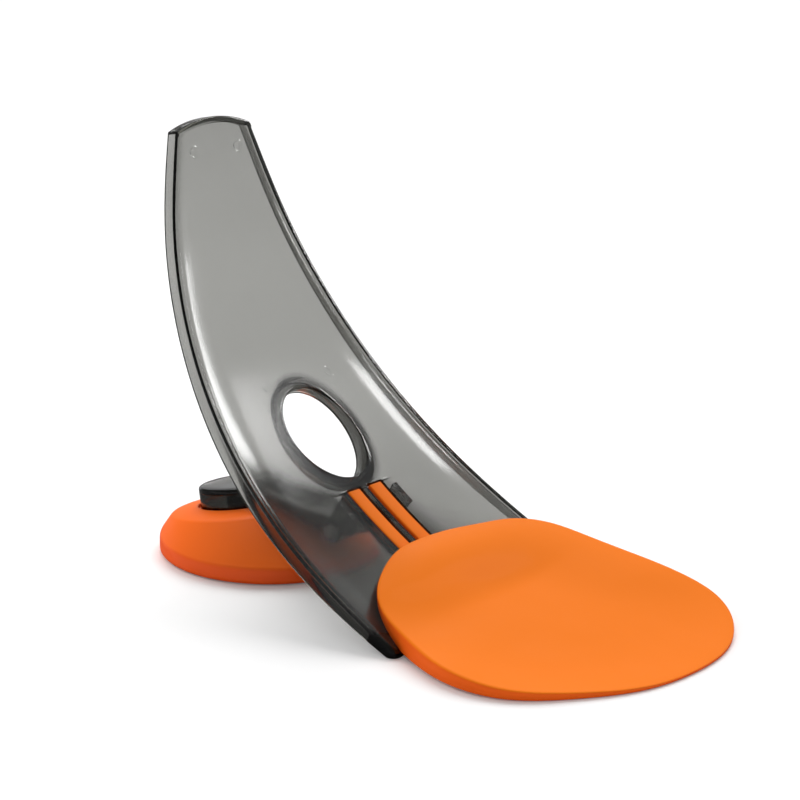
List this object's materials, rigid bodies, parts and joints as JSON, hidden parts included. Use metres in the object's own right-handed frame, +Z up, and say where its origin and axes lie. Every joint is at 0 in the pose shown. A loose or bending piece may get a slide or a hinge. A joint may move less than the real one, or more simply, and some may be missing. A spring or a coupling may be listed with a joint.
{
  "type": "golf putting practice ramp",
  "caption": "Curved see-through putting practice ramp with a ball hole, a soft front skirt, and a weighted round base on a folding arm.",
  "frame": {"origin": "on the floor under the middle of the whole object's box", "axes": "+X to the player, +Z up, symmetric about Y = 0"},
  "size_m": [0.29, 0.1582, 0.2027],
  "materials": {
    "smoked_plastic": "see-through smoked polycarbonate, gloss",
    "orange_rubber": "satin moulded soft rubber",
    "orange_plastic": "satin moulded plastic",
    "steel": "zinc-plated steel",
    "weight_iron": "bare cast weight",
    "black_plastic": "satin moulded plastic",
    "white_acetal": "plain bearing plastic",
    "grip_rubber": "matt grip rubber"
  },
  "bodies": {
    "ramp_body": {"ramp": "smoked_plastic", "skirt": "orange_rubber", "skirt_bar": "black_plastic", "skirt_screws": "steel", "hinge_pin": "steel", "pin_clips": "steel"},
    "arm_body": {"arm": "smoked_plastic", "puck_cap": "smoked_plastic", "arm_bushes": "black_plastic", "hub_washer": "steel", "hub_screw": "steel"},
    "disc_body": {"base_housing": "orange_plastic", "hub_bush": "white_acetal", "base_weight": "weight_iron", "base_plate": "black_plastic", "plate_screws": "steel", "grip_pad": "grip_rubber"}
  },
  "joints": [
    {"name": "arm_fold", "type": "hinge", "parent": "ramp_body", "child": "arm_body", "pos_m": [-0.03628, 0, 0.02447], "axis": [0, 1, 0], "range_deg": [0, 38]},
    {"name": "disc_swivel", "type": "hinge", "parent": "arm_body", "child": "disc_body", "pos_m": [-0.11, 0, 0.0178], "axis": [-0.1736, 0, 0.9848], "continuous": true}
  ]
}
